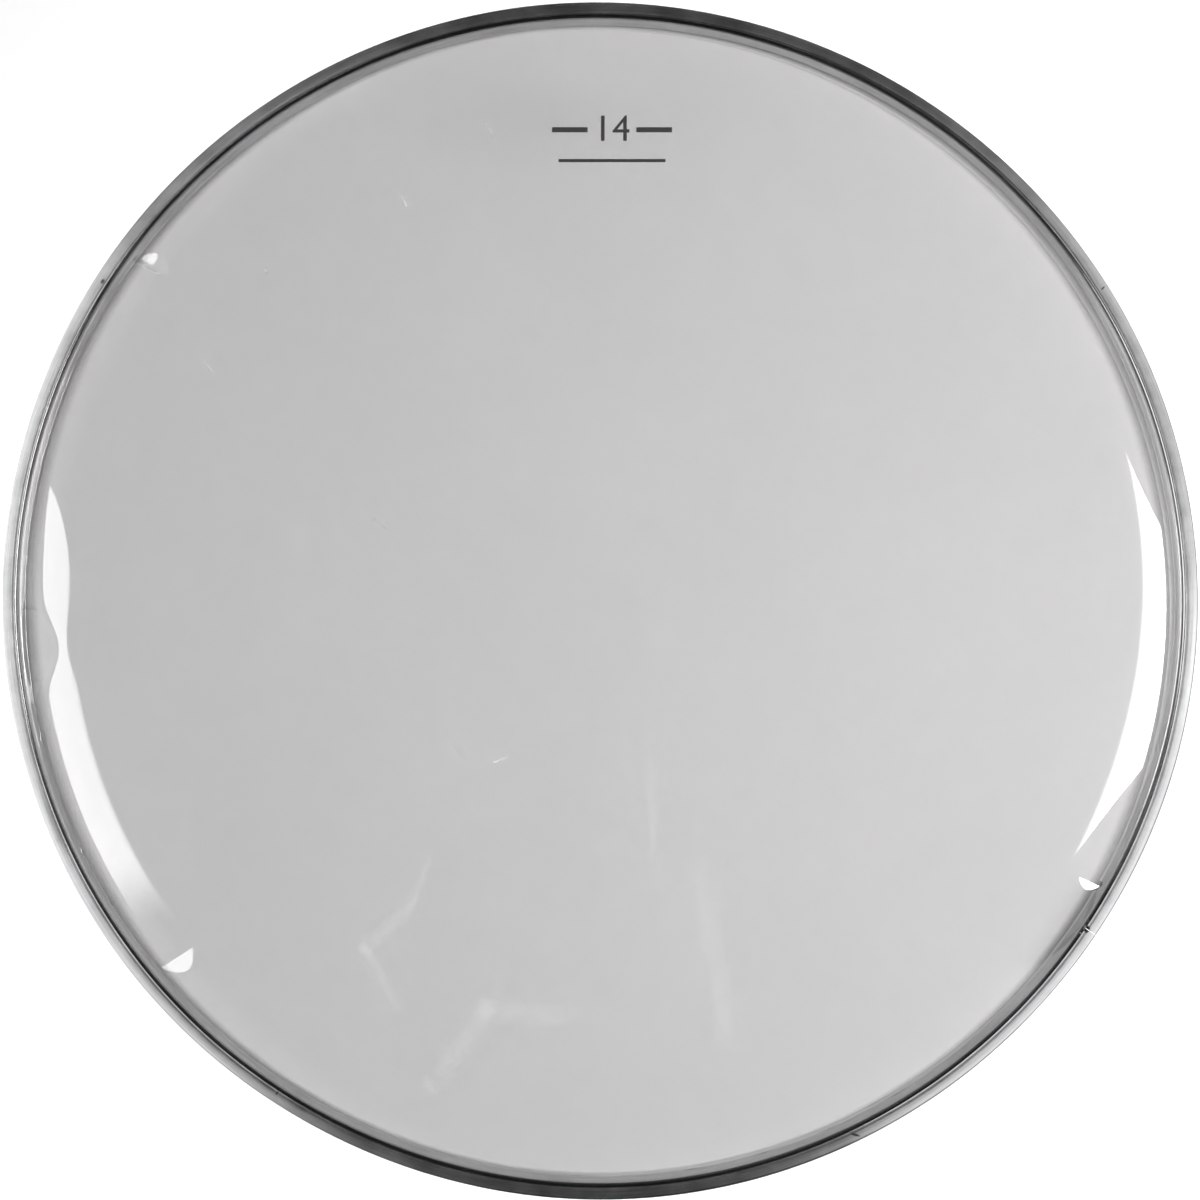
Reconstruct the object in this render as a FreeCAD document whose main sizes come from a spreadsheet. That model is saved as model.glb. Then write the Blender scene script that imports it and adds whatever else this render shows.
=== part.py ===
"""Drum head: a clear film bonded with resin into a rolled aluminium channel hoop.

Millimetres. The origin is the centre of the hoop's underside, and +Z points up through the film.
A profile is drawn with the radius across and the height up, and turned round the Z axis.
"""

import FreeCAD, Part
import math
import os

import Sketcher

# Driving dimensions: alias, value, meaning. Lengths are in millimetres and angles in degrees.
SIZES = [
    ("hoop_bore_radius", "178.0", "inside of the hoop, which goes round the drum shell"),
    ("inner_wall", "2.2", "thickness of the channel's inner wall"),
    ("slot_width", "1.4", "width of the channel's slot, which holds film and resin"),
    ("outer_wall", "3.9", "thickness of the channel's outer wall"),
    ("channel_floor", "1.6", "thickness of metal under the slot"),
    ("hoop_height", "9.5", "underside to the top of the outer wall's crown"),
    ("inner_wall_drop", "0.9", "how far the inner wall stops below the crown"),
    ("crown_rise", "1.2", "height of the rounded crown on the outer wall"),
    ("edge_round", "0.45", "rounding of the hoop's other long edges"),
    ("seam_gap", "0.2", "open hairline between the hoop's butted ends"),
    ("seam_angle", "-34.0", "place of the butt joint round the hoop, from +X"),
    ("slug_length", "30.0", "length of the joint slug along the slot"),
    ("slug_height", "1.8", "height of the joint slug above the channel's floor"),
    ("slug_clearance", "0.1", "side play of the joint slug in the slot, filled by resin"),
    ("film_thickness", "0.0762", "three thousandths of an inch of polyester"),
    ("skirt_clearance", "0.6", "resin between the joint slug and the film's edge"),
    ("perforation_diameter", "1.6", "hole in the film's skirt that the resin runs through"),
    ("perforation_count", "60", "holes round the skirt"),
    ("resin_recess", "1.0", "how far the resin outside the film stays below the inner wall"),
    ("bead_height", "1.2", "height of the resin bead above the inner wall"),
    ("bead_radius", "6.0", "hollow of the bead's free face"),
    ("skirt_margin", "0.3", "upright film between the bead and the root bend"),
    ("root_bend_radius", "1.5", "bend where the film leans in above the hoop"),
    ("collar_angle", "55.0", "slope of the collar against the playing surface"),
    ("collar_height", "2.1187", "root bend's start to where the straight collar meets its upper bend"),
    ("collar_bend_radius", "22.0", "bend from the collar to the playing surface"),
]

doc = FreeCAD.newDocument("drum_head")
sheet = doc.addObject("Spreadsheet::Sheet", "Sizes")
for row, (alias, value, meaning) in enumerate(SIZES, start=1):
    sheet.set(f"A{row}", alias)
    sheet.set(f"B{row}", value)
    sheet.set(f"C{row}", meaning)
    sheet.setAlias(f"B{row}", alias)
doc.recompute()


def size(alias):
    """The expression that reads one driving dimension."""
    return f"Sizes.{alias}"


# Radii and heights that pieces share, as expressions of the driving dimensions.
BORE = size("hoop_bore_radius")
SLOT_INSIDE = f"({BORE} + {size('inner_wall')})"
SLOT_OUTSIDE = f"({SLOT_INSIDE} + {size('slot_width')})"
HOOP_OUTSIDE = f"({SLOT_OUTSIDE} + {size('outer_wall')})"
SLOT_MIDDLE = f"({SLOT_INSIDE} + {size('slot_width')} / 2)"
SLOT_FLOOR = size("channel_floor")
WALL_TOP = f"({size('hoop_height')} - {size('inner_wall_drop')})"
CROWN_FOOT = f"({size('hoop_height')} - {size('crown_rise')})"
SLUG_TOP = f"({SLOT_FLOOR} + {size('slug_height')})"
SKIRT_EDGE = f"({SLUG_TOP} + {size('skirt_clearance')})"
BEAD_TOP = f"({WALL_TOP} + {size('bead_height')})"
ROOT_START = f"({BEAD_TOP} + {size('skirt_margin')})"
COLLAR_BEND_RISE = f"({size('collar_bend_radius')} * (1 - cos({size('collar_angle')})))"
FILM_TOP = f"({ROOT_START} + {size('collar_height')} + {COLLAR_BEND_RISE})"


def new_body(label):
    """A sub-part's body, with the label that names its file."""
    body = doc.addObject("PartDesign::Body", label)
    body.Label = label
    return body


def attached_sketch(body, name, plane_role):
    """A sketch on one of the body's own origin planes."""
    sketch = body.newObject("Sketcher::SketchObject", name)
    plane = next(f for f in body.Origin.OriginFeatures if f.Role == plane_role)
    sketch.AttachmentSupport = [(plane, "")]
    sketch.MapMode = "FlatFace"
    return sketch


def bind(sketch, constraint, expression):
    """Adds a dimension to a sketch and ties it to an expression."""
    index = sketch.addConstraint(constraint)
    sketch.setExpression(f"Constraints[{index}]", expression)


def arc_between(start, end, radius, turn):
    """The shorter arc from start to end, which turns left (1) or right (-1)."""
    chord = end.sub(start)
    to_left = FreeCAD.Vector(-chord.y, chord.x, 0).normalize()
    reach = math.sqrt(max(radius**2 - chord.Length**2 / 4, 0))
    centre = start.add(end).multiply(1 / 2).add(to_left.multiply(turn * reach))
    first, last = (start, end) if turn > 0 else (end, start)
    first_angle = math.atan2(first.y - centre.y, first.x - centre.x)
    last_angle = math.atan2(last.y - centre.y, last.x - centre.x)
    if last_angle < first_angle:
        last_angle += 2 * math.pi
    circle = Part.Circle(centre, FreeCAD.Vector(0, 0, 1), radius)
    return Part.ArcOfCircle(circle, first_angle, last_angle)


def draw_profile(sketch, corners):
    """A closed outline through corners, each (across, up) in expressions.

    A corner with two more values, a radius and a turn, is reached by an arc instead of a line.
    """
    def place(corner):
        across, up = (float(sheet.evalExpression(text)) for text in corner[:2])
        return FreeCAD.Vector(across, up, 0)

    # Each edge with the numbers of its own ends, as the outline meets them.
    edges = []
    for previous, corner in zip(corners[-1:] + corners[:-1], corners):
        if len(corner) == 2:
            edge = Part.LineSegment(place(previous), place(corner))
            edges.append((sketch.addGeometry(edge), 1, 2))
        else:
            radius_text, turn = corner[2:]
            radius = float(sheet.evalExpression(radius_text))
            edge = arc_between(place(previous), place(corner), radius, turn)
            ends = (1, 2) if turn > 0 else (2, 1)
            edges.append((sketch.addGeometry(edge), *ends))
    for (edge, _, edge_end), (after, after_start, _) in zip(edges, edges[1:] + edges[:1]):
        sketch.addConstraint(Sketcher.Constraint("Coincident", edge, edge_end, after, after_start))
    for (edge, _, edge_end), corner in zip(edges, corners):
        across, up = corner[:2]
        spot = place(corner)
        if across == "0":
            sketch.addConstraint(Sketcher.Constraint("PointOnObject", edge, edge_end, -2))
        else:
            bind(sketch, Sketcher.Constraint("DistanceX", -1, 1, edge, edge_end, spot.x), across)
        if up == "0":
            sketch.addConstraint(Sketcher.Constraint("PointOnObject", edge, edge_end, -1))
        else:
            bind(sketch, Sketcher.Constraint("DistanceY", -1, 1, edge, edge_end, spot.y), up)
        if len(corner) > 2:
            radius = float(sheet.evalExpression(corner[2]))
            bind(sketch, Sketcher.Constraint("Radius", edge, radius), corner[2])


def turned(body, name, corners, sweep="360"):
    """A profile turned round the body's Z axis, evenly to both sides of its XZ plane."""
    sketch = attached_sketch(body, name + "_profile", "XZ_Plane")
    draw_profile(sketch, corners)
    ring = body.newObject("PartDesign::Revolution", name)
    ring.Profile = sketch
    ring.ReferenceAxis = (sketch, ["V_Axis"])
    ring.Midplane = True
    ring.setExpression("Angle", sweep)
    return ring


def make_hoop():
    """The channel bar: a slot open upwards, a crowned outer wall and a lower inner wall."""
    edge = size("edge_round")
    crown_radius = (
        f"(({size('outer_wall')} / 2) ^ 2 + {size('crown_rise')} ^ 2) / (2 * {size('crown_rise')})"
    )
    body = new_body("hoop")
    turned(
        body,
        "rolled_channel",
        [
            (f"{HOOP_OUTSIDE} - {edge}", "0"),
            (HOOP_OUTSIDE, edge, edge, 1),
            (HOOP_OUTSIDE, CROWN_FOOT),
            (SLOT_OUTSIDE, CROWN_FOOT, crown_radius, 1),
            (SLOT_OUTSIDE, SLOT_FLOOR),
            (SLOT_INSIDE, SLOT_FLOOR),
            (SLOT_INSIDE, WALL_TOP),
            (f"{BORE} + {edge}", WALL_TOP),
            (BORE, f"{WALL_TOP} - {edge}", edge, 1),
            (BORE, edge),
            (f"{BORE} + {edge}", "0", edge, 1),
        ],
        f"360 deg - 2 * asin({size('seam_gap')} / (2 * {HOOP_OUTSIDE}))",
    )
    # The bar's ends meet on its own -X side, so half a turn more brings them to the seam.
    body.setExpression("Placement.Rotation.Angle", f"{size('seam_angle')} + 180")
    return body


def make_joint_slug():
    """A short curved bar on the channel's floor, half in each end of the hoop."""
    play = size("slug_clearance")
    body = new_body("joint_slug")
    turned(
        body,
        "curved_bar",
        [
            (f"{SLOT_INSIDE} + {play}", SLOT_FLOOR),
            (f"{SLOT_OUTSIDE} - {play}", SLOT_FLOOR),
            (f"{SLOT_OUTSIDE} - {play}", SLUG_TOP),
            (f"{SLOT_INSIDE} + {play}", SLUG_TOP),
        ],
        f"{size('slug_length')} / {SLOT_MIDDLE} * 180 / pi",
    )
    body.setExpression("Placement.Rotation.Angle", size("seam_angle"))
    return body


def make_perforations():
    """Round cutters across the slot, half way up the stretch of skirt that the resin holds."""
    cutters = []
    count = int(sheet.evalExpression(size("perforation_count")))
    for index in range(count):
        turn = f"360 * {index} / {size('perforation_count')}"
        azimuth = math.radians(float(sheet.evalExpression(turn)))
        outward = FreeCAD.Vector(math.cos(azimuth), math.sin(azimuth), 0)
        cutter = doc.addObject("Part::Cylinder", f"perforation_{index}")
        cutter.Placement.Rotation = FreeCAD.Rotation(FreeCAD.Vector(0, 0, 1), outward)
        cutter.setExpression("Placement.Base.x", f"{SLOT_INSIDE} * cos({turn})")
        cutter.setExpression("Placement.Base.y", f"{SLOT_INSIDE} * sin({turn})")
        cutter.setExpression("Placement.Base.z", f"({SKIRT_EDGE} + {WALL_TOP}) / 2")
        cutter.setExpression("Radius", f"{size('perforation_diameter')} / 2")
        cutter.setExpression("Height", size("slot_width"))
        cutters.append(cutter)
    perforations = doc.addObject("Part::Compound", "perforations")
    perforations.Links = cutters
    return perforations


def make_membrane():
    """One film: playing surface, bend, collar, root bend and perforated skirt."""
    film = size("film_thickness")
    slope = size("collar_angle")
    skirt_outside = f"({SLOT_MIDDLE} + {film} / 2)"
    skirt_inside = f"({SLOT_MIDDLE} - {film} / 2)"
    root = size("root_bend_radius")
    bend = size("collar_bend_radius")
    root_under = f"({root} - {film})"
    bend_under = f"({bend} - {film})"
    # The root bend's centre, and the bend's centre where the straight collar leads to it.
    root_axis = f"({skirt_outside} - {root})"
    bend_axis_height = f"({FILM_TOP} - {bend})"
    straight_rise = (
        f"({bend_axis_height} + {bend} * cos({slope}) - {ROOT_START} - {root} * cos({slope}))"
    )
    bend_axis = (
        f"({root_axis} + {root} * sin({slope}) - {straight_rise} / tan({slope})"
        f" - {bend} * sin({slope}))"
    )

    def on_root(radius):
        return f"{root_axis} + {radius} * sin({slope})", f"{ROOT_START} + {radius} * cos({slope})"

    def on_bend(radius):
        return f"{bend_axis} + {radius} * sin({slope})", f"{bend_axis_height} + {radius} * cos({slope})"

    sheet_of_film = new_body("sheet_of_film")
    turned(
        sheet_of_film,
        "formed_film",
        [
            (skirt_inside, SKIRT_EDGE),
            (skirt_outside, SKIRT_EDGE),
            (skirt_outside, ROOT_START),
            (*on_root(root), root, 1),
            on_bend(bend),
            (bend_axis, FILM_TOP, bend, 1),
            ("0", FILM_TOP),
            ("0", f"{FILM_TOP} - {film}"),
            (bend_axis, f"{FILM_TOP} - {film}"),
            (*on_bend(bend_under), bend_under, -1),
            on_root(root_under),
            (skirt_inside, ROOT_START, root_under, -1),
        ],
    )
    membrane = doc.addObject("Part::Cut", "membrane")
    membrane.Label = "membrane"
    membrane.Base = sheet_of_film
    membrane.Tool = make_perforations()
    doc.recompute()
    return membrane


def make_bonding_resin(membrane, joint_slug):
    """Resin in the slot on both sides of the skirt, through its holes, with a bead inside."""
    toe = f"({BORE} + {size('edge_round')})"
    resin_level = f"({WALL_TOP} - {size('resin_recess')})"
    poured = new_body("poured_resin")
    turned(
        poured,
        "filled_slot",
        [
            (SLOT_INSIDE, SLOT_FLOOR),
            (SLOT_OUTSIDE, SLOT_FLOOR),
            (SLOT_OUTSIDE, resin_level),
            (SLOT_MIDDLE, resin_level),
            (SLOT_MIDDLE, BEAD_TOP),
            (toe, WALL_TOP, size("bead_radius"), -1),
            (SLOT_INSIDE, WALL_TOP),
        ],
    )
    round_slug = doc.addObject("Part::Cut", "resin_round_slug")
    round_slug.Base = poured
    round_slug.Tool = joint_slug
    resin = doc.addObject("Part::Cut", "bonding_resin")
    resin.Label = "bonding_resin"
    resin.Base = round_slug
    resin.Tool = membrane
    return resin


hoop = make_hoop()
joint_slug = make_joint_slug()
membrane = make_membrane()
bonding_resin = make_bonding_resin(membrane, joint_slug)
doc.recompute()

for item in doc.Objects:
    if "Invalid" in item.State or "Error" in item.State:
        raise RuntimeError(f"{item.Label} did not rebuild: {item.State}")

SUB_PARTS = [hoop, joint_slug, membrane, bonding_resin]
for part in SUB_PARTS:
    if part.Shape.isNull() or not part.Shape.isValid():
        raise RuntimeError(f"{part.Label} has no valid shape")

os.makedirs("parts", exist_ok=True)
for part in SUB_PARTS:
    part.Shape.exportStep(f"parts/{part.Label}.step")
    solids = len(part.Shape.Solids)
    print(f"{part.Label}: {solids} solid(s), {part.Shape.Volume:.1f} cubic millimetres")
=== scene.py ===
"""Looks of a clear drum head: film, hoop, cast resin and size mark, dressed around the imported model."""
import math

import bpy
from mathutils import Matrix, Vector, noise


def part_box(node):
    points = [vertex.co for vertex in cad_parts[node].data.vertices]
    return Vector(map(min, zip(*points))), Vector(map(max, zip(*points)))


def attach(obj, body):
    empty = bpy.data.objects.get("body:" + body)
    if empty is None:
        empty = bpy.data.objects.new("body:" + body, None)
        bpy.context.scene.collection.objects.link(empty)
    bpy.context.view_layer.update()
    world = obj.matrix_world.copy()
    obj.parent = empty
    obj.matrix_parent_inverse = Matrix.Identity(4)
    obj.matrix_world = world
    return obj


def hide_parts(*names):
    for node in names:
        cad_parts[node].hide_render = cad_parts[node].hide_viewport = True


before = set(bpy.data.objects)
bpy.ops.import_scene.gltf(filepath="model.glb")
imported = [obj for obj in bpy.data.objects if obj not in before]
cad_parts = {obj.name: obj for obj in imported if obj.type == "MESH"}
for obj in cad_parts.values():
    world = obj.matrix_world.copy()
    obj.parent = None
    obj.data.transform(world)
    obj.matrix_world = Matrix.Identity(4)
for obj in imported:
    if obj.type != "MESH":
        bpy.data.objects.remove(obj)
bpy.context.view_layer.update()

MM = 0.001

# Sizes of the part, read from the frame where it holds them
HOOP_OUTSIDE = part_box("hoop")[1].x
HOOP_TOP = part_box("hoop")[1].z
FILM_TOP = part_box("membrane")[1].z
SKIRT_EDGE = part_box("membrane")[0].z

# Section of the hoop
OUTER_WALL = 3.9 * MM
SLOT_WIDTH = 1.4 * MM
INNER_WALL = 2.2 * MM
CHANNEL_FLOOR = 1.6 * MM
INNER_WALL_DROP = 0.9 * MM
CROWN_RISE = 1.2 * MM
EDGE_ROUND = 0.45 * MM
SLOT_OUTSIDE = HOOP_OUTSIDE - OUTER_WALL
SLOT_INSIDE = SLOT_OUTSIDE - SLOT_WIDTH
SLOT_MIDDLE = SLOT_OUTSIDE - SLOT_WIDTH / 2
BORE = SLOT_INSIDE - INNER_WALL
WALL_TOP = HOOP_TOP - INNER_WALL_DROP
SEAM_ANGLE = math.radians(-34.0)
SEAM_GAP = 0.2 * MM

# Section of the film, on its middle surface
FILM_THICKNESS = 0.0762 * MM
ROOT_START = 10.1 * MM
ROOT_BEND = 1.5 * MM
COLLAR_ANGLE = math.radians(55.0)
COLLAR_BEND = 22.0 * MM

# Where the bend is tighter or wider than that: place and reach in degrees, change of radius
BEND_CHANGES = ((32.0, 60.0, -8.0 * MM), (325.0, 40.0, 2.0 * MM))
INK_THICKNESS = 0.02 * MM
FILM_LEVEL = FILM_TOP - INK_THICKNESS - FILM_THICKNESS / 2

# The photograph's frame: its side, the rim's circle in it, and how far the camera stands
FRAME_PIXELS = 1200
RIM_CENTRE_PIXELS = (599.4, 600.3)
RIM_RADIUS_PIXELS = 598.2
CAMERA_HEIGHT = 2.2
SENSOR_WIDTH = 36.0
PIXEL = HOOP_OUTSIDE / RIM_RADIUS_PIXELS


def degrees_between(angle, other_degrees):
    """Signed difference of an angle in radians from another in degrees, in degrees within half a turn."""
    return (math.degrees(angle) - other_degrees + 180.0) % 360.0 - 180.0


def bump(x):
    """A smooth hump: one at zero, nothing from minus one outwards and from one outwards."""
    if abs(x) >= 1.0:
        return 0.0
    return (1.0 - x * x) ** 2


def ease(x):
    """Runs smoothly from zero to one as x does."""
    x = min(1.0, max(0.0, x))
    return x * x * (3.0 - 2.0 * x)


def drift(angle, waves, seed):
    """Smooth wandering round the ring, between about minus one and one, which closes on itself."""
    reach = waves / (2.0 * math.pi)
    return noise.noise(Vector((reach * math.cos(angle), reach * math.sin(angle), seed)))


# The real ring isn't quite round: place and reach in degrees, shift outwards
OUT_OF_ROUND = ((60.0, 42.0, -0.45 * MM),
                (182.0, 50.0, -0.4 * MM),
                (285.0, 45.0, 0.4 * MM),
                (342.0, 30.0, 0.2 * MM))


def out_of_round(radius, angle):
    """The radius of a point after the whole ring is bent a little out of round."""
    shift = sum(size * bump(degrees_between(angle, place) / reach) for place, reach, size in OUT_OF_ROUND)
    return radius + shift * (radius / HOOP_OUTSIDE) ** 4


# Corners of a square, counterclockwise
SQUARE = ((-1, -1), (1, -1), (1, 1), (-1, 1))


def arc(centre, radius, start, end, steps):
    """Points of an arc in a section, as (radius from the axis, height), with angles in radians."""
    angles = [start + (end - start) / steps * i for i in range(steps + 1)]
    return [(centre[0] + radius * math.cos(a), centre[1] + radius * math.sin(a)) for a in angles]


def angles_around(count, fine_spots):
    """Angles round the ring: an even grid, and closer ones at each (place, reach, step) in degrees."""
    found = {round(360.0 * i / count, 4) for i in range(count)}
    for place, reach, step in fine_spots:
        steps = round(reach / step)
        found.update(round((place + step * i) % 360.0, 4) for i in range(-steps, steps + 1))
    return [math.radians(a) for a in sorted(found)]


def add_piece(name, points, faces, material, sharp_degrees=40.0):
    """A mesh piece that rides on the part's body, smooth but for its sharp edges."""
    mesh = bpy.data.meshes.new(name)
    mesh.from_pydata(points, [], faces)
    mesh.validate()
    mesh.materials.append(material)
    mesh.shade_smooth()
    mesh.set_sharp_from_angle(angle=math.radians(sharp_degrees))
    piece = bpy.data.objects.new(name, mesh)
    bpy.context.scene.collection.objects.link(piece)
    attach(piece, "root")
    return piece


def swept_ring(angles, section, closed):
    """Points and faces of a ring: section(angle) gives its closed outline, counterclockwise."""
    points = []
    for angle in angles:
        outline = section(angle)
        size = len(outline)
        for radius, height in outline:
            radius = out_of_round(radius, angle)
            points.append((radius * math.cos(angle), radius * math.sin(angle), height))
    faces = []
    last = len(angles) if closed else len(angles) - 1
    for i in range(last):
        here = i * size
        there = (i + 1) % len(angles) * size
        for j in range(size):
            k = (j + 1) % size
            faces.append((here + j, here + k, there + k, there + j))
    if not closed:
        faces.append(tuple(range(size - 1, -1, -1)))
        faces.append(tuple(range((len(angles) - 1) * size, len(angles) * size)))
    return points, faces


# Small helpers for node materials

def new_material(name):
    material = bpy.data.materials.new(name)
    material.use_nodes = True
    material.node_tree.nodes.clear()
    return material


def add_node(tree, kind, inputs=None, **settings):
    """A shader node with its settings and its inputs, each a plain value or another node's output."""
    node = tree.nodes.new("ShaderNode" + kind)
    for key, value in settings.items():
        setattr(node, key, value)
    for key, value in (inputs or {}).items():
        if isinstance(value, bpy.types.NodeSocket):
            tree.links.new(value, node.inputs[key])
        else:
            node.inputs[key].default_value = value
    return node


def calculate(tree, operation, *terms):
    node = add_node(tree, "Math", dict(enumerate(terms)), operation=operation)
    return node.outputs[0]


def calculate_vector(tree, operation, *terms):
    node = add_node(tree, "VectorMath", dict(enumerate(terms)), operation=operation)
    return node.outputs["Value" if operation in ("DOT_PRODUCT", "LENGTH") else "Vector"]


def remap(tree, value, low, high, to_low, to_high):
    node = add_node(tree, "MapRange", {0: value, 1: low, 2: high, 3: to_low, 4: to_high})
    node.interpolation_type = "SMOOTHSTEP"
    return node.outputs[0]


def cloud(tree, vector, scale, detail=3.0, roughness=0.55):
    inputs = {"Vector": vector, "Scale": scale, "Detail": detail, "Roughness": roughness}
    return add_node(tree, "TexNoise", inputs).outputs[0]


def object_position(tree):
    return add_node(tree, "TexCoord").outputs["Object"]


def ring_position(tree):
    """The place round the ring: (radius, angle in turns, height)."""
    parts = add_node(tree, "SeparateXYZ", {0: object_position(tree)})
    x, y, z = parts.outputs
    flat = add_node(tree, "CombineXYZ", {0: x, 1: y}).outputs[0]
    radius = calculate_vector(tree, "LENGTH", flat)
    turns = calculate(tree, "DIVIDE", calculate(tree, "ARCTAN2", y, x), 2.0 * math.pi)
    return radius, turns, z


def towards_share(tree, place, radius, angle):
    """One at this angle round the axis and less to both sides: the cosine of the angle between."""
    along = calculate_vector(tree, "DOT_PRODUCT", place, (math.cos(angle), math.sin(angle), 0.0))
    return calculate(tree, "DIVIDE", along, calculate(tree, "MAXIMUM", radius, MM))


def scaled(tree, colour, share):
    """A colour or vector times a share."""
    return add_node(tree, "VectorMath", {0: colour, "Scale": share}, operation="SCALE").outputs[0]


def two_tone(tree, value, dark_at, dark, light_at, light):
    """A colour that runs from dark to light as a value goes from one place to the other."""
    tone = add_node(tree, "ValToRGB", {0: value})
    for element, place, colour in zip(tone.color_ramp.elements, (dark_at, light_at), (dark, light)):
        element.position = place
        element.color = (*colour, 1.0)
    return tone.outputs[0]


def finish_material(material, shader):
    output = add_node(material.node_tree, "OutputMaterial")
    material.node_tree.links.new(shader, output.inputs["Surface"])
    return material


# Aluminium

# Marks on the hoop: place in degrees, radius, half length, half width, lean, strength
HOOP_MARKS = ((31.8, 183.6 * MM, 0.35 * MM, 1.0 * MM, -0.2, 0.85),
              (-123.2, 182.5 * MM, 0.35 * MM, 0.9 * MM, 0.0, 0.75),
              (-64.4, 183.7 * MM, 0.75 * MM, 1.3 * MM, -1.0, 0.85),
              (147.3, 182.9 * MM, 1.1 * MM, 0.8 * MM, 0.0, 0.75),
              (-158.0, 182.9 * MM, 16.0 * MM, 0.8 * MM, 0.0, 0.25),
              (-34.0, 182.4 * MM, 0.6 * MM, 1.4 * MM, 0.0, 0.9),
              (12.8, 181.4 * MM, 3.0 * MM, 0.3 * MM, 0.0, 0.6))

# Share of a mark, from its middle, that is darkest
MARK_CORE_SHARE = 0.4

# What is left of the metal's colour in its drawn lines, under the painted shade on its sloping flanks and
# under the painted dark line along its outer arris, the distances from the outside where that painted line
# starts and is darkest, and the lines' waves along a turn
LINE_SHARE = 0.55
FLANK_PAINTED_SHADE_SHARE = 0.6
ARRIS_PAINTED_SHADE_SHARE = 0.4
ARRIS_SHADE_START = 0.35 * MM
ARRIS_SHADE_FULL = 0.1 * MM
LINES_PER_TURN = 40.0

# The lip is smoother than the crown: its share of the roughness, and the radii where that ends
LIP_ROUGHNESS_SHARE = 0.5
LIP_POLISH_ENDS = (182.05 * MM, 182.2 * MM)


def dark_mark(tree, radius, turns, mark):
    """What is left of the colour at a soft dark mark on the bar."""
    place, middle, length, width, lean, strength = mark
    along = calculate(tree, "MULTIPLY_ADD", turns, 2.0 * math.pi * middle, -math.radians(place) * middle)
    across = calculate(tree, "SUBTRACT", radius, middle)
    slanted = calculate(tree, "MULTIPLY_ADD", across, lean, along)
    offset = add_node(tree, "CombineXYZ", {
        0: calculate(tree, "DIVIDE", slanted, length),
        1: calculate(tree, "DIVIDE", across, width)}).outputs[0]
    distance = calculate_vector(tree, "LENGTH", offset)
    return remap(tree, distance, MARK_CORE_SHARE, 1.0, 1.0 - strength, 1.0)


def aluminium(name, colour, roughness_range, line_scale, line_depth, marks):
    """Drawn aluminium bar: lines along the bar, cloudy wear, soft dark marks, painted shade on flanks and
    arris.
    """
    material = new_material(name)
    tree = material.node_tree
    radius, turns, height = ring_position(tree)
    lines_at = add_node(tree, "CombineXYZ", {
        0: calculate(tree, "MULTIPLY", radius, line_scale),
        1: calculate(tree, "MULTIPLY", turns, LINES_PER_TURN),
        2: calculate(tree, "MULTIPLY", height, line_scale)}).outputs[0]
    lines = cloud(tree, lines_at, 1.0, 4.0, 0.65)
    wear = cloud(tree, object_position(tree), 90.0, 4.0, 0.6)
    lines_and_wear = calculate(tree, "MULTIPLY_ADD", lines, 0.5, calculate(tree, "MULTIPLY", wear, 0.5))
    shade = two_tone(tree, lines_and_wear, 0.3, [c * LINE_SHARE for c in colour], 0.62, colour)
    for mark in marks:
        shade = scaled(tree, shade, dark_mark(tree, radius, turns, mark))
    # Painted shade: steep flanks are darkened by their slope, and a dark line is painted along the outer
    # arris
    normal = add_node(tree, "NewGeometry").outputs["Normal"]
    facing_up = add_node(tree, "SeparateXYZ", {0: normal}).outputs[2]
    flank_shade = calculate(tree, "MAXIMUM", remap(tree, facing_up, 0.2, 0.4, 1.0, FLANK_PAINTED_SHADE_SHARE),
                      remap(tree, facing_up, 0.5, 0.66, FLANK_PAINTED_SHADE_SHARE, 1.0))
    arris_shade = remap(tree, radius, HOOP_OUTSIDE - ARRIS_SHADE_START, HOOP_OUTSIDE - ARRIS_SHADE_FULL, 1.0, ARRIS_PAINTED_SHADE_SHARE)
    shade = scaled(tree, shade, calculate(tree, "MULTIPLY", flank_shade, arris_shade))
    roughness = remap(tree, wear, 0.3, 0.7, *roughness_range)
    polish = remap(tree, radius, *LIP_POLISH_ENDS, LIP_ROUGHNESS_SHARE, 1.0)
    raised = add_node(tree, "Bump", {"Strength": 0.5, "Distance": line_depth, "Height": lines})
    tangent = add_node(tree, "Tangent", direction_type="RADIAL", axis="Z")
    shader = add_node(tree, "BsdfPrincipled", {
        "Base Color": shade,
        "Metallic": 1.0,
        "Roughness": calculate(tree, "MULTIPLY", roughness, polish),
        "Anisotropic": 0.95,
        "Anisotropic Rotation": 0.25,
        "Tangent": tangent.outputs[0],
        "Normal": raised.outputs[0]})
    return finish_material(material, shader.outputs[0])


# Resin

# Painted shade: the bead darkens towards the slit between these radii, and the slit downwards between these
# heights
BEAD_PAINTED_SHADE_RADII = (179.3 * MM, 180.5 * MM)
BEAD_PAINTED_SHADE_SHARE = 0.6
SLIT_PAINTED_SHADE_HEIGHTS = (7.2 * MM, 8.0 * MM)
SLIT_PAINTED_SHADE_SHARE = 0.06
RESIN_DARK = (0.19, 0.19, 0.194)
RESIN_LIGHT = (0.38, 0.38, 0.384)
RESIN_LINE_SCALE = 2600.0
RESIN_LINES_PER_TURN = 60.0


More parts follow.
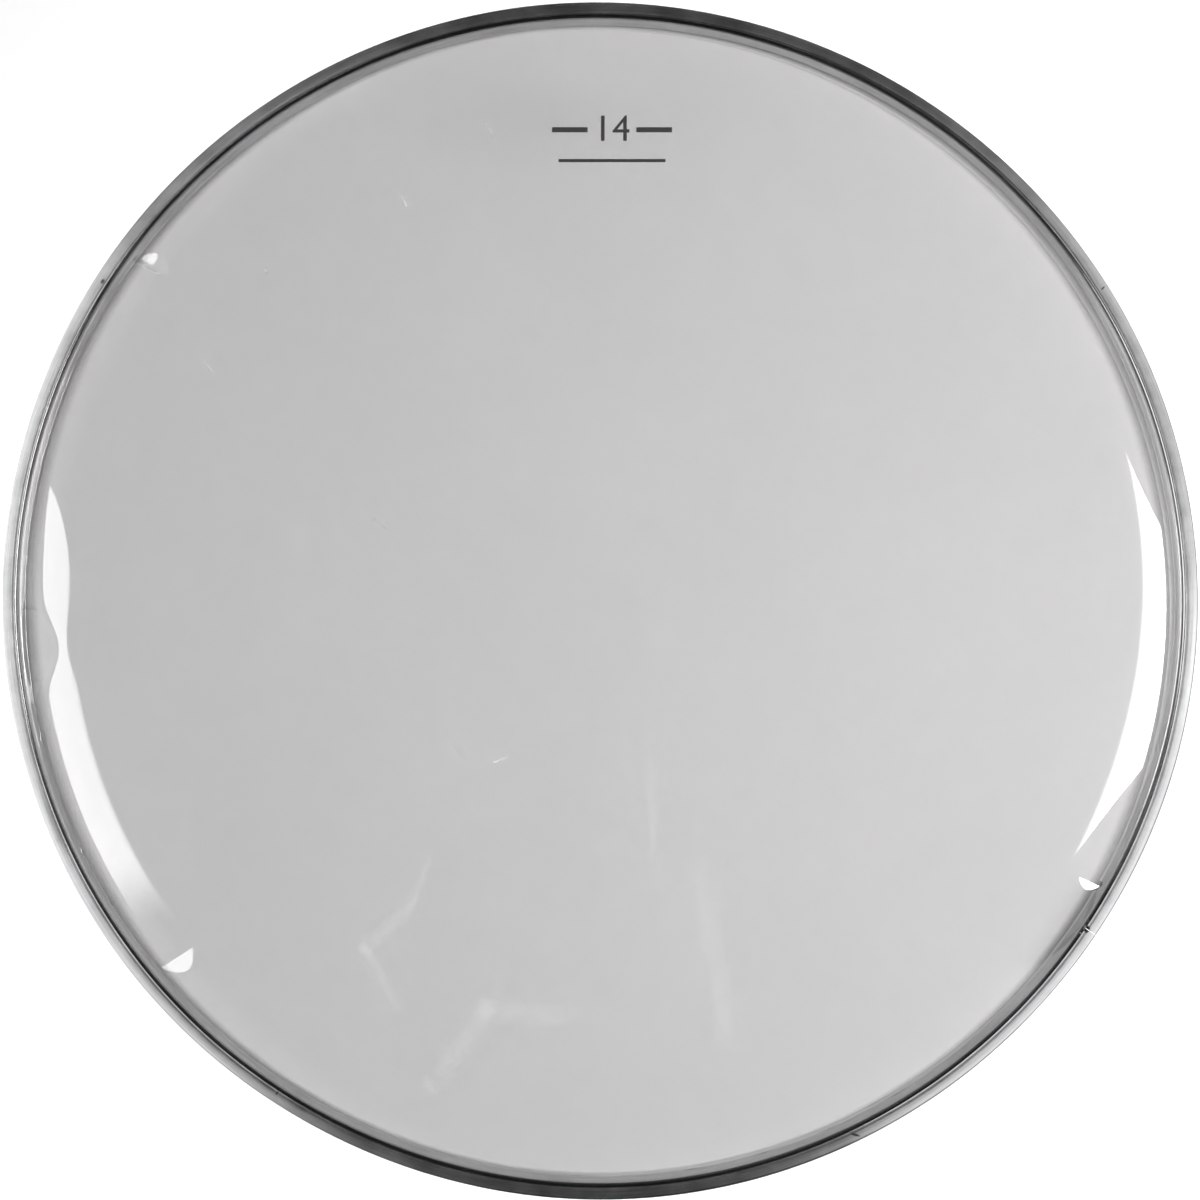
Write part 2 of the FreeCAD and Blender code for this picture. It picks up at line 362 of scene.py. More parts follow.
def cast_resin():
    """Grey potting resin: glossy, with drawn lines along the bead, and painted shade in and beside the
    slit.
    """
    material = new_material("cast_resin")
    tree = material.node_tree
    place = object_position(tree)
    lumps = cloud(tree, place, 420.0, 4.0, 0.6)
    patches = cloud(tree, place, 60.0, 2.0, 0.5)
    radius, turns, height = ring_position(tree)
    lines_at = add_node(tree, "CombineXYZ", {
        0: calculate(tree, "MULTIPLY", radius, RESIN_LINE_SCALE),
        1: calculate(tree, "MULTIPLY", turns, RESIN_LINES_PER_TURN)}).outputs[0]
    lines = cloud(tree, lines_at, 1.0, 3.0, 0.6)
    mixed = calculate(tree, "MULTIPLY_ADD", patches, 0.4, calculate(tree, "MULTIPLY", lines, 0.6))
    tone = two_tone(tree, mixed, 0.35, RESIN_DARK, 0.62, RESIN_LIGHT)
    # Painted shade: darker towards the slit beside the skirt and down into it
    shade_beside_slit = remap(tree, radius, *BEAD_PAINTED_SHADE_RADII, 1.0, BEAD_PAINTED_SHADE_SHARE)
    shade_in_slit = remap(tree, height, *SLIT_PAINTED_SHADE_HEIGHTS, SLIT_PAINTED_SHADE_SHARE, 1.0)
    raised = add_node(tree, "Bump", {"Strength": 0.5, "Distance": 0.03 * MM, "Height": lumps})
    shader = add_node(tree, "BsdfPrincipled", {
        "Base Color": scaled(tree, tone, calculate(tree, "MULTIPLY", shade_beside_slit, shade_in_slit)),
        "Roughness": remap(tree, patches, 0.3, 0.7, 0.08, 0.18),
        "IOR": 2.0,
        "Specular IOR Level": 1.0,
        "Coat Weight": 1.0,
        "Coat Roughness": 0.06,
        "Normal": raised.outputs[0]})
    return finish_material(material, shader.outputs[0])


# Film

# Scuffs on the film, in the photograph's pixels: from, to, width, strength
SCUFFS = (
    ((402, 196), (406, 206), 2.0, 0.30),
    ((265, 270), (268, 273), 1.8, 0.30),
    ((206, 362), (213, 372), 2.0, 0.25),
    ((375, 519), (385, 528), 2.0, 0.10),
    ((446, 733), (462, 753), 5.0, 0.05),
    ((486, 124), (494, 136), 2.0, 0.16),
    ((494, 762), (507, 758), 2.5, 0.26),
    ((427, 862), (412, 905), 5.0, 0.10),
    ((412, 905), (365, 948), 12.0, 0.10),
    ((365, 948), (396, 1002), 8.0, 0.09),
    ((428, 1082), (434, 1090), 7.0, 0.12),
    ((447, 1065), (488, 1008), 15.0, 0.10),
    ((488, 1008), (556, 1014), 18.0, 0.08),
    ((650, 760), (654, 850), 7.0, 0.06),
    ((700, 870), (728, 1040), 16.0, 0.06),
)
SCUFF_MARGIN = 6.0 * MM

# Share of the light that the clear film lets through, by colour, lowered further as painted shadow because
# the film casts none on the floor, and the share that it mirrors from straight above
FILM_TINT_AND_SHADOW = (0.693, 0.688, 0.69)
FILM_GLOSS_SHARE = 0.068

# Painted shadow of the hoop on the floor, laid into the film as a darker ring beside the bead: radius where
# that starts, is full and ends, how much further in the first two lie at the left and right than half way
# between, and the share of clearness that is left
SHADOW_RING_START = 174.35 * MM
SHADOW_RING_START_WIDER = 1.95 * MM
SHADOW_RING_FULL = 177.6 * MM
SHADOW_RING_FULL_WIDER = 0.6 * MM
SHADOW_RING_END = 177.85 * MM
SHADOW_RING_END_WIDTH = 0.4 * MM
SHADOW_RING_LEFT_SHARE = 0.65

# Round this angle the painted shadow ring starts further in and is darker
SHADOW_RING_SIDE = math.radians(50.0)
SHADOW_RING_SIDE_FROM_SHARE = 0.6
SHADOW_RING_SIDE_WIDER = 1.3 * MM
SHADOW_RING_SIDE_LEFT_SHARE = 0.5

# At the hoop's joint the painted shadow ring ends further out, from the first of these angles off it, fully
# at the second
SHADOW_RING_SEAM_DEGREES = (4.5, 1.0)
SHADOW_RING_SEAM_WIDER = 2.2 * MM

# Painted shade: over the bead the film is darker at the right, and its root, between these radii, is
# darkened in clearness and gloss
OVER_BEAD_PAINTED_SHADE_SHARE = 0.17
ROOT_PAINTED_SHADE_RADII = (180.25 * MM, 180.6 * MM)
ROOT_PAINTED_SHADE_LEFT_SHARE = 0.3


def film_point(pixel):
    """The place on the flat film that the camera sees at a pixel of the photograph."""
    nearer = (CAMERA_HEIGHT - FILM_TOP) / (CAMERA_HEIGHT - HOOP_TOP)
    x = (pixel[0] - RIM_CENTRE_PIXELS[0]) * PIXEL * nearer
    y = (RIM_CENTRE_PIXELS[1] - pixel[1]) * PIXEL * nearer
    return Vector((x, y, 0.0))


def scuff_mask(tree, flat_position, start, end, width, strength):
    """A soft mark along a short stretch of the film."""
    along = end - start
    offset = calculate_vector(tree, "SUBTRACT", flat_position, tuple(start))
    share = calculate_vector(tree, "DOT_PRODUCT", offset, tuple(along / along.length_squared))
    share = add_node(tree, "Clamp", {0: share}).outputs[0]
    nearest = scaled(tree, tuple(along), share)
    distance = calculate_vector(tree, "LENGTH", calculate_vector(tree, "SUBTRACT", offset, nearest))
    return remap(tree, distance, width * 0.2, width, strength, 0.0)


def film_haze(tree, place, flat_place, mottle, scuffs):
    """Share of the film that is milky: a faint uneven haze, and more in the scuffs."""
    haze = remap(tree, mottle, 0.3, 0.7, 0.015, 0.03)
    if scuffs:
        broken = remap(tree, cloud(tree, place, 700.0, 3.0, 0.7), 0.25, 0.6, 0.3, 1.0)
        for start, end, width, strength in scuffs:
            mark = scuff_mask(tree, flat_place, film_point(start), film_point(end), width * PIXEL, strength)
            haze = calculate(tree, "MULTIPLY_ADD", mark, broken, haze)
    return haze


def clearness_under_painted_shadow(tree, place, radius):
    """Share of the film's clearness left under painted shadow: less in the ring beside the bead and over
    the bead.
    """
    across = towards_share(tree, place, radius, 0.0)
    sideways = calculate(tree, "MULTIPLY_ADD", calculate(tree, "MULTIPLY", across, across), 2.0, -1.0)
    side_share = towards_share(tree, place, radius, SHADOW_RING_SIDE)
    side_wider = remap(tree, side_share, SHADOW_RING_SIDE_FROM_SHARE, 1.0, 0.0, SHADOW_RING_SIDE_WIDER)
    start = calculate(tree, "MULTIPLY_ADD", sideways, -SHADOW_RING_START_WIDER, SHADOW_RING_START)
    start = calculate(tree, "SUBTRACT", start, side_wider)
    full = calculate(tree, "MULTIPLY_ADD", sideways, -SHADOW_RING_FULL_WIDER, SHADOW_RING_FULL)
    most = remap(tree, side_share, SHADOW_RING_SIDE_FROM_SHARE, 1.0,
                 1.0 - SHADOW_RING_LEFT_SHARE, 1.0 - SHADOW_RING_SIDE_LEFT_SHARE)
    inner_side = remap(tree, radius, start, full, 0.0, most)
    seam_share = towards_share(tree, place, radius, SEAM_ANGLE)
    seam_from, seam_full = (math.cos(math.radians(angle)) for angle in SHADOW_RING_SEAM_DEGREES)
    seam_wider = remap(tree, seam_share, seam_from, seam_full, 0.0, SHADOW_RING_SEAM_WIDER)
    drawn_in = calculate(tree, "SUBTRACT", radius, seam_wider)
    outer_side = remap(tree, drawn_in, SHADOW_RING_END - SHADOW_RING_END_WIDTH, SHADOW_RING_END, 1.0, 0.0)
    clear = calculate(tree, "SUBTRACT", 1.0, calculate(tree, "MULTIPLY", inner_side, outer_side))
    # Painted shade over the bead, stronger at the right
    shade_at_right = remap(tree, across, 0.2, 0.8, 0.0, OVER_BEAD_PAINTED_SHADE_SHARE)
    over_bead_shade = remap(tree, radius, SHADOW_RING_END - SHADOW_RING_END_WIDTH, SHADOW_RING_END, 0.0, shade_at_right)
    return calculate(tree, "SUBTRACT", clear, over_bead_shade)


def clear_film(name, scuffs):
    """Clear film: see-through, glossy, with a faint uneven haze, the given scuffs, and painted shadow and
    shade near the hoop.
    """
    material = new_material(name)
    tree = material.node_tree
    place = object_position(tree)
    flat_place = calculate_vector(tree, "MULTIPLY", place, (1.0, 1.0, 0.0))
    radius = calculate_vector(tree, "LENGTH", flat_place)
    mottle = cloud(tree, place, 28.0, 2.0, 0.6)
    # Painted shade: the root is darkened, in both clearness and gloss, where it goes down into the slit
    root = remap(tree, radius, *ROOT_PAINTED_SHADE_RADII, 1.0, ROOT_PAINTED_SHADE_LEFT_SHARE)
    clear = calculate(tree, "MULTIPLY", clearness_under_painted_shadow(tree, place, radius), root)
    facing = add_node(tree, "LayerWeight", {"Blend": 0.5}).outputs["Facing"]
    grazing = calculate(tree, "POWER", facing, 5.0)
    gloss_share = calculate(tree, "MULTIPLY_ADD", grazing, 1.0 - FILM_GLOSS_SHARE, FILM_GLOSS_SHARE)
    gloss_share = calculate(tree, "MULTIPLY", gloss_share, root)
    through = add_node(tree, "BsdfTransparent", {"Color": scaled(tree, FILM_TINT_AND_SHADOW, clear)})
    milk = add_node(tree, "BsdfPrincipled", {"Base Color": (0.8, 0.8, 0.8, 1.0), "Roughness": 0.5})
    gloss = add_node(tree, "BsdfAnisotropic", {
        "Color": (1.0, 1.0, 1.0, 1.0),
        "Roughness": remap(tree, mottle, 0.3, 0.7, 0.014, 0.042)})
    haze = film_haze(tree, place, flat_place, mottle, scuffs)
    body = add_node(tree, "MixShader", {0: haze, 1: through.outputs[0], 2: milk.outputs[0]})
    shader = add_node(tree, "MixShader", {0: gloss_share, 1: body.outputs[0], 2: gloss.outputs[0]})
    return finish_material(material, shader.outputs[0])


def printing_ink():
    """Black screen-printed ink with a slight pinhole grain."""
    material = new_material("printing_ink")
    tree = material.node_tree
    grain = cloud(tree, object_position(tree), 2500.0, 2.0, 0.6)
    tone = two_tone(tree, grain, 0.3, (0.012, 0.012, 0.013), 0.7, (0.03, 0.03, 0.032))
    shader = add_node(tree, "BsdfPrincipled", {
        "Base Color": tone,
        "Roughness": remap(tree, grain, 0.3, 0.7, 0.45, 0.65)})
    return finish_material(material, shader.outputs[0])


# The hoop

# Steps round the hoop and the resin, and the finer ones beside the hoop's joint
RING_STEPS = 900
SEAM_FINE_STEP = math.radians(0.03)
SEAM_FINE_STEPS = 60

# How the joint shows: how far and how steeply the inner wall and the bead draw back from it, how much
# sooner the wall does so than the bead, and the notch in the crown's inner half
SEAM_REACH_DEGREES = 5.0
SEAM_REACH_POWER = 1.8
WALL_LEAD = 1.5
SEAM_NOTCH_DEGREES = 0.35
SEAM_NOTCH_DEPTH = 1.6 * MM

# The crown: its unevenness, the radius of its highest line, its falls to the outside and to the inside
CROWN_SKEW = 0.1 * MM
CROWN_MIDDLE = 182.85 * MM
CROWN_FALLS = (0.6 * MM, 0.06 * MM)
CROWN_STEPS = 32

# The groove beside the crown, and the round lip between it and the slot
GROOVE_OUTSIDE = 0.95 * MM
GROOVE_DEPTH = 0.4 * MM
GROOVE_LEAN = 0.03 * MM
LIP_RADIUS = 0.25 * MM
LIP_OUTSIDE = 0.15 * MM
LIP_DROP = 0.3 * MM
LIP_DEPTH = 0.9 * MM

# The inner wall's least thickness, and the most that one round takes of a wall's or the bead's width
LEAST_WALL = 0.1 * MM
ROUND_SHARE = 0.45


def from_seam(angle):
    """Degrees between a place on the ring and the hoop's butt joint."""
    return abs(degrees_between(angle, math.degrees(SEAM_ANGLE)))


def drawn_back_share(angle):
    """How far the inner wall and the bead are drawn back: wholly at the butt joint, less away from it."""
    return (1.0 - min(1.0, from_seam(angle) / SEAM_REACH_DEGREES)) ** SEAM_REACH_POWER


def hoop_section(angle):
    """The channel's closed outline: outer wall with crown, groove and lip, slot, and lower inner wall."""
    crown_inside = SLOT_OUTSIDE + GROOVE_OUTSIDE
    skew = CROWN_SKEW * (drift(angle, 26.0, 7.0) + 0.5 * drift(angle, 90.0, 8.0))
    notch = SEAM_NOTCH_DEPTH * (1.0 - ease(from_seam(angle) / SEAM_NOTCH_DEGREES))
    bore = BORE + (SLOT_INSIDE - LEAST_WALL - BORE) * min(1.0, WALL_LEAD * drawn_back_share(angle))
    edge = min(EDGE_ROUND, ROUND_SHARE * (SLOT_INSIDE - bore))
    quarter = math.pi / 2
    outline = arc((bore + edge, edge), edge, 2 * quarter, 3 * quarter, 5)
    outline += arc((HOOP_OUTSIDE - EDGE_ROUND, EDGE_ROUND), EDGE_ROUND, -quarter, 0.0, 5)
    for i in range(CROWN_STEPS + 1):
        place = HOOP_OUTSIDE + (crown_inside - HOOP_OUTSIDE) * i / CROWN_STEPS
        side = 0 if place > CROWN_MIDDLE else 1
        reach = (HOOP_OUTSIDE - CROWN_MIDDLE, crown_inside - CROWN_MIDDLE)[side]
        across = (place - CROWN_MIDDLE) / reach
        crown_radius = (reach ** 2 + CROWN_FALLS[side] ** 2) / (2 * CROWN_FALLS[side])
        fall = crown_radius - math.sqrt(crown_radius ** 2 - (reach * across) ** 2)
        fall += skew * (0.5 - side) * across * (1.0 - across ** 2) + notch * ease(across * side)
        outline.append((place, HOOP_TOP - fall))
    foot = HOOP_TOP - CROWN_FALLS[1] - notch
    lip_level = foot - LIP_DROP
    lip_middle = SLOT_OUTSIDE + LIP_OUTSIDE
    lip_foot = lip_level - LIP_DEPTH
    outline.append((crown_inside - GROOVE_LEAN, foot - GROOVE_DEPTH))
    outline.append((lip_middle + LIP_RADIUS, foot - GROOVE_DEPTH))
    outline += arc((lip_middle, lip_level), LIP_RADIUS, 0.0, math.pi, 8)
    outline.append((lip_middle - LIP_RADIUS, lip_foot))
    outline.append((SLOT_OUTSIDE, lip_foot - LIP_RADIUS))
    outline += [(SLOT_OUTSIDE, CHANNEL_FLOOR), (SLOT_INSIDE, CHANNEL_FLOOR)]
    outline += arc((SLOT_INSIDE - edge, WALL_TOP - edge), edge, 0.0, quarter, 6)
    outline += arc((bore + edge, WALL_TOP - edge), edge, quarter, 2 * quarter, 6)
    return outline


def make_hoop(material):
    half_gap = SEAM_GAP / 2 / SLOT_MIDDLE
    turn = (2.0 * math.pi - 2.0 * half_gap) / RING_STEPS
    turned = [half_gap + turn * i for i in range(RING_STEPS + 1)]
    near = [half_gap + SEAM_FINE_STEP * i for i in range(1, SEAM_FINE_STEPS)]
    turned = sorted(set(turned + near + [2.0 * math.pi - a for a in near]))
    points, faces = swept_ring([SEAM_ANGLE + a for a in turned], hoop_section, closed=False)
    hoop = add_piece("hoop_bar", points, faces, material)
    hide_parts("hoop")
    return hoop


# The resin

# Where the bead's edge draws back: place and reach in degrees, depth
BEAD_BREAKS = ((194.1, 0.6, 0.4 * MM),
               (206.1, 0.6, 0.5 * MM),
               (211.8, 0.6, 0.4 * MM),
               (279.0, 0.8, 0.3 * MM),
               (286.5, 0.7, 0.4 * MM),
               (293.0, 0.8, 0.3 * MM),
               (301.0, 0.7, 0.4 * MM),
               (345.0, 0.5, 0.7 * MM))
BREAK_FINE_STEP_DEGREES = 0.1

# The bead on the inner wall: its inner and outer edge and top, how unevenly its edge and top run, its least
# width, the step beside its outer shoulder, the shoulders' radii and where their arcs end
BEAD_TOE = 178.15 * MM
BEAD_END = 180.45 * MM
BEAD_TOP = 9.3 * MM
BEAD_WANDER = 0.15 * MM
BEAD_LIFT = 0.1 * MM
LEAST_BEAD = 0.5 * MM
BEAD_STEP = 0.45 * MM
BEAD_DROP = 0.2 * MM
OUTER_SHOULDER = 0.5 * MM
INNER_SHOULDER = 0.35 * MM
SHOULDER_ENDS = (math.radians(84.0), math.radians(96.0))

# How far the resin lies below the wall's top, at the bead's toe and beside the slot
WALL_OVERLAPS = (0.05 * MM, 0.06 * MM)

# The slit beside the skirt: its outer side and floor, the floor's rise to both sides and on to the slot's
# wall, its fillets, and how near the hoop's joint and how far below the wall's top it is closed
SLIT_SIDE = 181.0 * MM
SLIT_FLOOR = 4.9 * MM
SLIT_RISE = 0.3 * MM
SLIT_OUTER_RISE = 0.5 * MM
SKIRT_FILLET = 0.1 * MM
BEAD_FILLET = 0.06 * MM
SLIT_CLOSED_DEGREES = 0.65
SLIT_CLOSED_DROP = 0.4 * MM


def bead_toe(angle):
    """How far the bead reaches inwards over the inner wall."""
    toe = BEAD_TOE + BEAD_WANDER * (drift(angle, 90.0, 1.0) + 0.5 * drift(angle, 260.0, 2.0))
    for place, reach, depth in BEAD_BREAKS:
        toe += depth * bump(degrees_between(angle, place) / reach)
    return toe + (BEAD_END - LEAST_BEAD - toe) * drawn_back_share(angle)


def resin_section(angle):
    """Closed outline of the poured resin: a bead with two round shoulders, and the slit at the skirt."""
    toe = bead_toe(angle)
    lift = BEAD_LIFT * drift(angle, 120.0, 3.0)
    inside = SLOT_MIDDLE - FILM_THICKNESS / 2
    outside = SLOT_MIDDLE + FILM_THICKNESS / 2
    closed_share = 1.0 - ease(from_seam(angle) / SLIT_CLOSED_DEGREES)
    floor = SLIT_FLOOR + (WALL_TOP - SLIT_CLOSED_DROP - SLIT_FLOOR) * closed_share
    outline = [(SLOT_INSIDE, CHANNEL_FLOOR),
               (SLOT_OUTSIDE, CHANNEL_FLOOR),
               (SLOT_OUTSIDE, floor + SLIT_OUTER_RISE),
               (SLIT_SIDE, floor + SLIT_RISE),
               (outside + SKIRT_FILLET, floor),
               (outside, floor - SKIRT_FILLET),
               (outside, SKIRT_EDGE),
               (inside, SKIRT_EDGE),
               (inside, floor - SKIRT_FILLET),
               (BEAD_END + BEAD_FILLET, floor),
               (BEAD_END, floor + SLIT_RISE)]
    width = BEAD_END - toe
    outer = min(OUTER_SHOULDER, ROUND_SHARE * width)
    inner = min(INNER_SHOULDER, ROUND_SHARE * width)
    outline += arc((BEAD_END - outer, BEAD_TOP - outer + lift), outer, 0.0, SHOULDER_ENDS[0], 9)
    step = min(BEAD_STEP, 0.2 * width)
    drop = min(BEAD_DROP, 0.09 * width)
    for share in (0.25, 0.5, 0.75, 1.0):
        outline.append((BEAD_END - outer - step * share, BEAD_TOP + lift - drop * share))
    outline += arc((toe + inner, BEAD_TOP - drop - inner + lift), inner, SHOULDER_ENDS[1], math.pi, 9)
    outline.append((toe, WALL_TOP - WALL_OVERLAPS[0]))
    outline.append((SLOT_INSIDE - EDGE_ROUND, WALL_TOP - WALL_OVERLAPS[1]))
    outline.append((SLOT_INSIDE, WALL_TOP - EDGE_ROUND))
    return outline


def make_resin(material):
    fine = [(place, reach, BREAK_FINE_STEP_DEGREES) for place, reach, depth in BEAD_BREAKS]
    fine.append((math.degrees(SEAM_ANGLE), SEAM_REACH_DEGREES, BREAK_FINE_STEP_DEGREES))
    points, faces = swept_ring(angles_around(RING_STEPS, fine), resin_section, closed=True)
    resin = add_piece("resin_bead", points, faces, material, sharp_degrees=50.0)
    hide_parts("bonding_resin")
    return resin


# The film

# Steps round the film and closer ones at the pinch (place, reach, step) and at the facets (reach, step),
# and steps along its section: shares of the flat part, and counts for the bend and the root
FILM_STEPS = 720
PINCH_FINE_DEGREES = (185.0, 13.0, 0.25)
FACET_FINE_DEGREES = (2.6, 0.08)
FLAT_SHARES = (0.06, 0.14, 0.23, 0.33, 0.43, 0.53, 0.63, 0.72, 0.80, 0.87, 0.92, 0.96, 0.985)
BEND_STEPS = 64
ROOT_STEPS = 8

# Pinches, where the bend is tighter over a short stretch:
# place, reach to smaller and to larger angles in degrees, share of the radius lost
PINCHES = ((185.1, 6.5, 5.6, 0.62), (182.0, 16.0, 10.0, 0.13))
PINCH_POWER = 1.5
PINCH_SINE = 0.17
HALVINGS = 40

# Ripples of the bend: place and reach in degrees, radius, reach, depth inwards
RIPPLES = ((161.0, 16.0, 166.8 * MM, 12.0 * MM, 0.36 * MM),)

# Half-moon facets beside a crease: place in degrees, side, middle radius, width, slope, lean, hollow
FACETS = ((220.2, 1.0, 171.0 * MM, 5.2 * MM, 0.19, 0.12, 22.0 * MM),
          (330.2, -1.0, 174.55 * MM, 3.0 * MM, 0.19, 0.1, 22.0 * MM),
          (143.2, -1.0, 172.6 * MM, 4.6 * MM, 0.35, 0.15, 15.0 * MM))
FACET_REACH_DEGREES = 6.0
CREASE_BACK = 2.4 * MM


def bend_radius(angle):
    """Radius of the bend from the flat film to the collar, which isn't the same all round."""
    change = sum(size * bump(degrees_between(angle, place) / reach) for place, reach, size in BEND_CHANGES)
    return COLLAR_BEND + change


def film_bend(angle):
    """The bend at one place: where the flat film ends, the bend's radius, and the slope of the collar."""
    wide = bend_radius(angle)
    cosine, sine = math.cos(COLLAR_ANGLE), math.sin(COLLAR_ANGLE)
    drop = FILM_LEVEL - wide * (1.0 - cosine) - ROOT_START - ROOT_BEND * cosine
    flat_end = SLOT_MIDDLE - ROOT_BEND * (1.0 - sine) - drop / math.tan(COLLAR_ANGLE)
    flat_end -= wide * sine
    lost_share = 0.0
    for place, before, after, share in PINCHES:
        off = degrees_between(angle, place)
        lost_share += share * bump(off / (before if off < 0.0 else after)) ** PINCH_POWER
    if lost_share == 0.0:
        return flat_end, wide, COLLAR_ANGLE
    tight = wide * (1.0 - lost_share)
    flat_end += (wide - tight) * PINCH_SINE
    # The collar's slope is the one whose straight run meets the root bend, found by halving
    low, high = 0.4 * COLLAR_ANGLE, 1.001 * COLLAR_ANGLE
    for halving in range(HALVINGS):
        slope = (low + high) / 2
        top, bottom = collar_ends(flat_end, tight, slope)
        if top[1] - bottom[1] > math.tan(slope) * (bottom[0] - top[0]):
            low = slope
        else:
            high = slope
    return flat_end, tight, slope


def collar_ends(flat_end, bend, slope):
    """The collar's straight run, from the bend's end to the root bend's start, as two (radius, height)."""
    top = (flat_end + bend * math.sin(slope), FILM_LEVEL - bend * (1.0 - math.cos(slope)))
    bottom = (SLOT_MIDDLE - ROOT_BEND * (1.0 - math.sin(slope)), ROOT_START + ROOT_BEND * math.cos(slope))
    return top, bottom


def film_dent(radius, angle):
    """How far the film is pressed in, along its normal, at a place of the bend."""
    depth = 0.0
    for place, reach, middle, length, most in RIPPLES:
        depth += most * bump(degrees_between(angle, place) / reach) * bump((radius - middle) / length)
    for place, side, middle, width, slope, lean, hollow in FACETS:
        off = degrees_between(angle, place)
        if abs(off) > FACET_REACH_DEGREES:
            continue
        away = side * math.radians(off) * radius + lean * (radius - middle)
        flat_end, bend = film_bend(angle)[:2]
        along = (radius - middle) / math.cos(math.asin((middle - flat_end) / bend))
        lost = along ** 2 / (2.0 * hollow)
        if away >= 0.0:
            depth += max(0.0, slope * (width - away) - lost)
        elif away > -CREASE_BACK:
            depth += max(0.0, slope * width - lost) * (1.0 - ease(-away / CREASE_BACK))
    return depth


def film_line(angle):
    """The film's middle line, from near the axis to the skirt's edge, as (radius, height, slope)."""
    flat_end, bend, collar = film_bend(angle)
    top, bottom = collar_ends(flat_end, bend, collar)
    line = [(flat_end * share, FILM_LEVEL, 0.0) for share in FLAT_SHARES]
    for i in range(BEND_STEPS + 1):
        slope = collar * i / BEND_STEPS
        line.append((flat_end + bend * math.sin(slope), FILM_LEVEL - bend * (1.0 - math.cos(slope)), slope))
    for share in (0.25, 0.5, 0.75):
        line.append((top[0] + (bottom[0] - top[0]) * share, top[1] + (bottom[1] - top[1]) * share, collar))
    for i in range(ROOT_STEPS + 1):
        slope = collar + (math.pi / 2 - collar) * i / ROOT_STEPS
        line.append((SLOT_MIDDLE - ROOT_BEND * (1.0 - math.sin(slope)),
                     ROOT_START + ROOT_BEND * math.cos(slope), slope))
    for share in (0.33, 0.66, 1.0):
        line.append((SLOT_MIDDLE, ROOT_START + (SKIRT_EDGE - ROOT_START) * share, math.pi / 2))
    return line


def near_scuff(point):
    """Whether a place on the film lies close to one of the scuffs."""
    for start, end, width, strength in SCUFFS:
        start, end = film_point(start), film_point(end)
        along = end - start
        offset = Vector((point[0], point[1], 0.0)) - start
        share = min(1.0, max(0.0, offset.dot(along) / along.length_squared))
        if (offset - along * share).length < width * PIXEL + SCUFF_MARGIN:
            return True
    return False


def make_film(material, scuffed_material):
    fine = [PINCH_FINE_DEGREES]
    fine += [(facet[0], *FACET_FINE_DEGREES) for facet in FACETS]
    angles = angles_around(FILM_STEPS, fine)
    size = len(film_line(0.0))
    points = [(0.0, 0.0, FILM_LEVEL + FILM_THICKNESS / 2), (0.0, 0.0, FILM_LEVEL - FILM_THICKNESS / 2)]
    for angle in angles:
        line = film_line(angle)
        dents = [film_dent(radius, angle) for radius, height, slope in line]
        for side in (1.0, -1.0):
            for (radius, height, slope), dent in zip(line, dents):
                off = side * FILM_THICKNESS / 2 - dent
                reach = out_of_round(radius + off * math.sin(slope), angle)
                level = height + off * math.cos(slope)
                points.append((reach * math.cos(angle), reach * math.sin(angle), level))
    faces = []
    for i in range(len(angles)):
        here = 2 + 2 * size * i
        there = 2 + 2 * size * ((i + 1) % len(angles))
        faces.append((0, here, there))
        faces.append((1, there + size, here + size))
        for j in range(size - 1):
            faces.append((here + j, here + j + 1, there + j + 1, there + j))
            faces.append((here + size + j, there + size + j, there + size + j + 1, here + size + j + 1))
        edge = size - 1
        faces.append((here + edge, here + size + edge, there + size + edge, there + edge))
    film = add_piece("clear_film", points, faces, material, sharp_degrees=60.0)
    film.data.materials.append(scuffed_material)
    for face in film.data.polygons:
        if face.normal.z > 0.999 and face.center.z > FILM_LEVEL:
            spots = [points[i] for i in face.vertices] + [tuple(face.center)]
            if any(near_scuff(spot) for spot in spots):
                face.material_index = 1
    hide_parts("membrane")
    return film


# The size mark

MARK_CENTRE_PIXELS = (612.0, 130.0)
MARK_DIGITS = "14"
MARK_HEIGHT = 8.0 * MM
MARK_BAR = (11.0 * MM, 1.6 * MM)
MARK_BAR_OFFSET = 13.0 * MM
MARK_RULE = (33.0 * MM, 1.0 * MM)
MARK_RULE_DROP = 9.5 * MM

# Height of a digit as a share of the size of its type
DIGIT_SHARE = 0.7


def bar_of_ink(centre, size):
    """Corner points and faces of one thin printed bar."""
    low = FILM_TOP - INK_THICKNESS
    corners = [(centre.x + size[0] / 2 * x, centre.y + size[1] / 2 * y) for x, y in SQUARE]
    points = [(x, y, low) for x, y in corners] + [(x, y, FILM_TOP) for x, y in corners]
    faces = [(3, 2, 1, 0), (4, 5, 6, 7), (0, 1, 5, 4), (1, 2, 6, 5), (2, 3, 7, 6), (3, 0, 4, 7)]
    return points, faces


